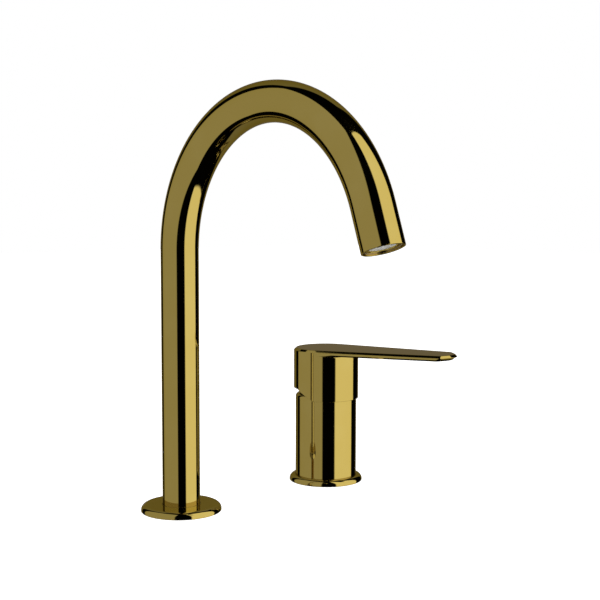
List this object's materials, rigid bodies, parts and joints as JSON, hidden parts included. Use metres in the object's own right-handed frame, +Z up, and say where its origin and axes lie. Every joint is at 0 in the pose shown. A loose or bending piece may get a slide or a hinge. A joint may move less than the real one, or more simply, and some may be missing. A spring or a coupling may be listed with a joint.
{
  "type": "two-hole basin mixer faucet",
  "caption": "Deck-mounted basin mixer with a swivelling swan-neck spout on a round flange and a separate single-lever control with a flat tapered paddle.",
  "frame": {"origin": "on the deck's surface, at the spout's vertical axis", "axes": "+Z up out of the deck, -Y towards the basin and the person using it, +X from the spout to the control"},
  "size_m": [0.233, 0.2508, 0.367],
  "materials": {
    "gold": "mirror-polished gold-coloured coating on brass",
    "brass": "plain turned brass, satin",
    "steel": "stainless steel, satin",
    "rubber": "matt black",
    "nylon": "off-white moulded plastic",
    "ceramic": "lapped alumina ceramic, near white"
  },
  "bodies": {
    "root": {"spout_flange": "gold", "swivel_foot": "brass", "foot_seal": "rubber", "journal_seals": "rubber", "glide_ring": "nylon", "spout_pad": "rubber", "spout_washer": "steel", "spout_nut": "brass", "control_body": "gold", "control_flange": "gold", "body_seal": "rubber", "cartridge_base": "nylon", "port_seals": "rubber", "cartridge_housing": "nylon", "fixed_disc": "ceramic", "cartridge_nut": "brass", "nut_cover": "gold", "clamp_stud": "steel", "clamp_pad": "rubber", "clamp_plate": "steel", "stud_nut": "steel"},
    "spout": {"spout_tube": "gold", "spout_bush": "brass", "outlet_ring": "brass", "aerator_housing": "gold", "flow_straightener": "nylon", "aerator_seal": "rubber", "spout_grub_screw": "steel"},
    "turret": {"cartridge_rotor": "nylon", "pivot_pin": "steel"},
    "lever": {"lever_stem": "brass", "lever_handle": "gold", "lever_set_screw": "steel", "index_cap": "gold"},
    "slider": {"moving_disc": "ceramic", "disc_slider": "nylon"}
  },
  "joints": [
    {"name": "spout_swivel", "type": "hinge", "parent": "root", "child": "spout", "pos_m": [0, 0, 0], "axis": [0, 0, 1], "range_deg": [-60, 60]},
    {"name": "lever_turn", "type": "hinge", "parent": "root", "child": "turret", "pos_m": [0.148, 0, 0], "axis": [0, 0, 1], "range_deg": [-68, 22]},
    {"name": "lever_lift", "type": "hinge", "parent": "turret", "child": "lever", "pos_m": [0.148, 0, 0.066], "axis": [-0.9205, -0.3907, 0], "range_deg": [0, 25]},
    {"name": "disc_slide", "type": "slide", "parent": "turret", "child": "slider", "axis": [0.3907, -0.9205, 0], "range_m": [0, 0.0039]}
  ],
  "couplings": [
    {"joint": "disc_slide", "follows": "lever_lift", "m_per_rad": 0.0086687}
  ]
}
